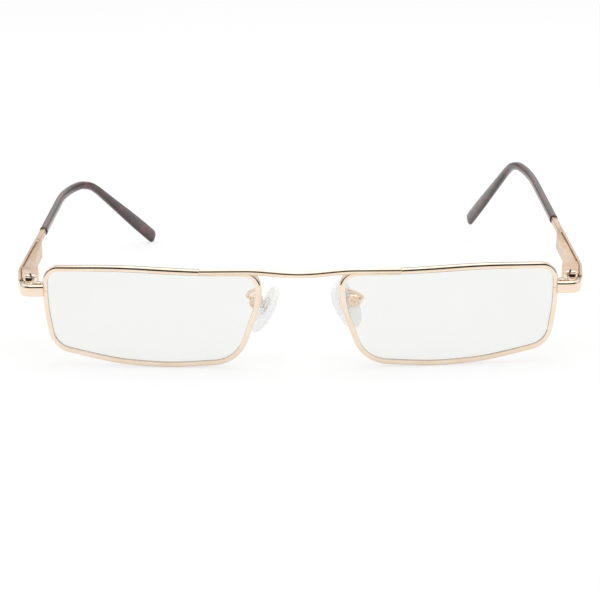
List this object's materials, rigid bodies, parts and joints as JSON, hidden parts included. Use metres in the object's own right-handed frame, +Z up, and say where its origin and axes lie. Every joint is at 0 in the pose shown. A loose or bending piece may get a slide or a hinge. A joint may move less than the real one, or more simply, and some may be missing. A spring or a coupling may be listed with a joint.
{
  "type": "reading glasses",
  "caption": "Rimmed metal reading glasses with narrow rectangular lenses, screw-on nose pads, sprung hinges and plastic-sleeved temples, lying open.",
  "frame": {"origin": "middle of the box round the open glasses, on the table", "axes": "+Z up, front facing -Y, temples running to +Y, wearer's left at +X"},
  "size_m": [0.1414, 0.1496, 0.0318],
  "materials": {
    "gold": "polished pale rose-gold plate",
    "steel": "bare turned steel",
    "screw": "gold-plated screw head",
    "lens": "clear polished lens",
    "pad": "clear satin silicone",
    "pad_core": "clear moulded core",
    "sleeve": "glossy dark brown-red tortoise"
  },
  "bodies": {
    "front": {"bridge_bar": "gold", "right_rim": "gold", "right_lens": "lens", "right_end_piece": "gold", "right_closing_block_upper": "gold", "right_closing_block_lower": "gold", "right_closing_screw": "screw", "right_front_hinge": "gold", "right_pad_arm": "gold", "right_pad_box": "gold", "right_pad_screw": "screw", "left_rim": "gold", "left_lens": "lens", "left_end_piece": "gold", "left_closing_block_upper": "gold", "left_closing_block_lower": "gold", "left_closing_screw": "screw", "left_front_hinge": "gold", "left_pad_arm": "gold", "left_pad_box": "gold", "left_pad_screw": "screw"},
    "right_pin": {"right_hinge_screw": "screw"},
    "right_slide": {"right_slider": "steel", "right_spring_stop": "steel", "right_hinge_spring": "steel"},
    "right_temple_arm": {"right_temple": "gold", "right_temple_sleeve": "sleeve", "right_spring_case": "gold"},
    "right_pad": {"right_nose_pad": "pad", "right_pad_core": "pad_core"},
    "left_pin": {"left_hinge_screw": "screw"},
    "left_slide": {"left_slider": "steel", "left_spring_stop": "steel", "left_hinge_spring": "steel"},
    "left_temple_arm": {"left_temple": "gold", "left_temple_sleeve": "sleeve", "left_spring_case": "gold"},
    "left_pad": {"left_nose_pad": "pad", "left_pad_core": "pad_core"}
  },
  "joints": [
    {"name": "right_flex", "type": "hinge", "parent": "front", "child": "right_pin", "pos_m": [-0.06656, -0.06008, 0.01788], "axis": [0, 0, -1], "range_deg": [-12, 0], "stiffness_Nm_per_rad": 0.1, "springref_deg": 5.73},
    {"name": "right_fold", "type": "hinge", "parent": "right_pin", "child": "right_slide", "pos_m": [-0.06656, -0.06008, 0.01788], "axis": [0, 0, -1], "range_deg": [0, 80]},
    {"name": "right_spring_slide", "type": "slide", "parent": "right_slide", "child": "right_temple_arm", "axis": [0.007, 0.9961, 0.0875], "range_m": [0, 0.0008]},
    {"name": "right_pad_rock", "type": "hinge", "parent": "front", "child": "right_pad", "pos_m": [-0.011, -0.06341, 0.01428], "axis": [0.0604, -0.9685, -0.2415], "range_deg": [-8, 8]},
    {"name": "left_flex", "type": "hinge", "parent": "front", "child": "left_pin", "pos_m": [0.06656, -0.06008, 0.01788], "axis": [0, 0, 1], "range_deg": [-12, 0], "stiffness_Nm_per_rad": 0.1, "springref_deg": 5.73},
    {"name": "left_fold", "type": "hinge", "parent": "left_pin", "child": "left_slide", "pos_m": [0.06656, -0.06008, 0.01788], "axis": [0, 0, 1], "range_deg": [0, 86]},
    {"name": "left_spring_slide", "type": "slide", "parent": "left_slide", "child": "left_temple_arm", "axis": [-0.0346, 0.9896, 0.1395], "range_m": [0, 0.0008]},
    {"name": "left_pad_rock", "type": "hinge", "parent": "front", "child": "left_pad", "pos_m": [0.01345, -0.06401, 0.01478], "axis": [-0.4455, -0.7999, -0.4021], "range_deg": [-8, 8]}
  ],
  "couplings": [
    {"joint": "right_spring_slide", "follows": "right_flex", "m_per_rad": -0.0038},
    {"joint": "left_spring_slide", "follows": "left_flex", "m_per_rad": -0.0038}
  ]
}
